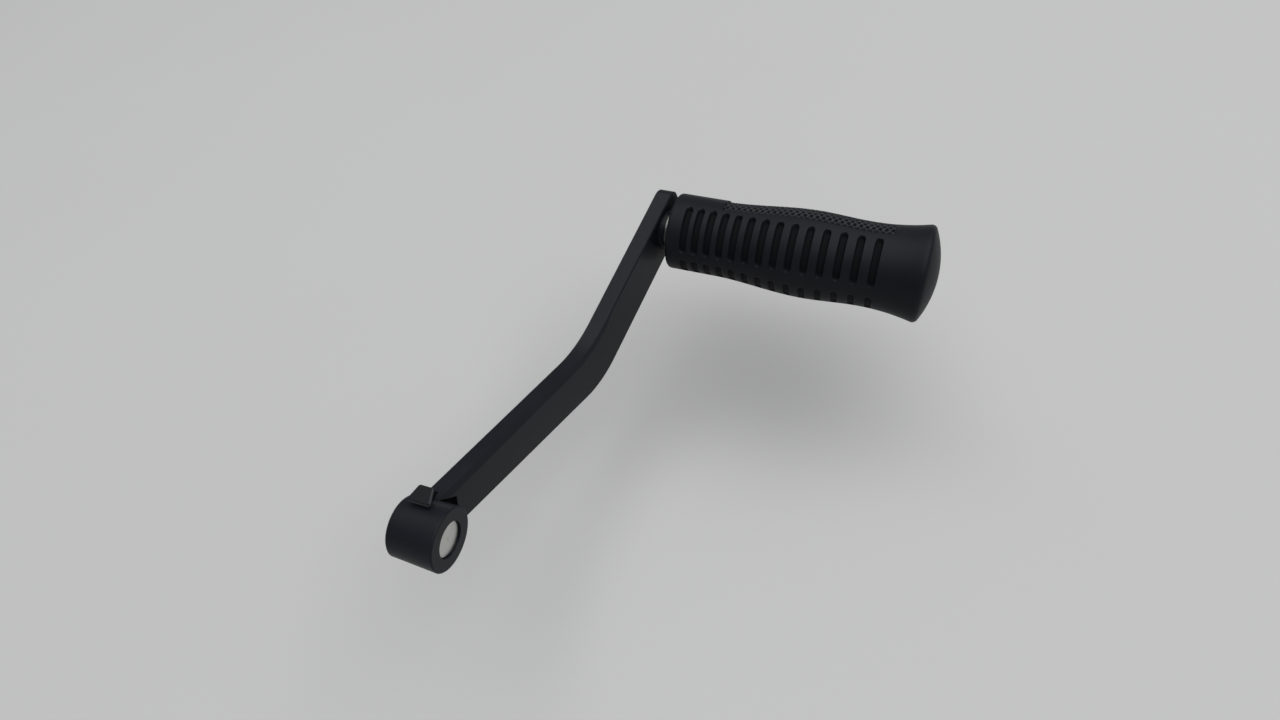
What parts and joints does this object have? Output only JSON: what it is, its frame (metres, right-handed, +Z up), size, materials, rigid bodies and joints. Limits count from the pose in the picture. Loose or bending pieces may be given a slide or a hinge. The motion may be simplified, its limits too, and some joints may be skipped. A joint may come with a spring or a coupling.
{
  "type": "crank handle",
  "caption": "Dog-leg hand crank with a latched hub bore at one end and a free-turning rubber grip at the other.",
  "frame": {"origin": "on the shaft's axis, at the mouth of the shaft bore in the hub's back face", "axes": "+X along the shaft's axis from the bore's mouth towards the grip, +Y along the throw from the shaft to the grip's axis, +Z up, to the side that the arm's elbow dips away from"},
  "size_m": [0.1607, 0.2135, 0.0589],
  "materials": {
    "black_casting": "satin",
    "bright_steel": "satin",
    "zinc_steel": "satin",
    "black_plastic": "matte",
    "bush_plastic": "matte",
    "black_rubber": "matte"
  },
  "bodies": {
    "arm": {"crank_arm": "black_casting", "drive_bush": "bright_steel", "latch_pin": "bright_steel", "latch_spring": "bright_steel", "grip_spindle": "zinc_steel", "spindle_nut": "zinc_steel", "thrust_washer": "bright_steel", "cone_washer": "bright_steel", "end_washer": "bright_steel", "retaining_ring": "bright_steel"},
    "latch": {"latch_lever": "black_casting"},
    "grip": {"grip_core": "black_plastic", "grip_sleeve": "black_rubber", "inner_bush": "bush_plastic", "outer_bush": "bush_plastic"}
  },
  "joints": [
    {"name": "grip_spin", "type": "hinge", "parent": "arm", "child": "grip", "pos_m": [0.09, 0.18, 0], "axis": [1, 0, 0], "continuous": true},
    {"name": "latch_press", "type": "hinge", "parent": "arm", "child": "latch", "pos_m": [0.0068, 0.014, 0.0008], "axis": [1, 0, 0], "range_deg": [0, 4], "stiffness_Nm_per_rad": 0.1, "springref_deg": -8.59, "deforming": ["latch_spring"]}
  ]
}
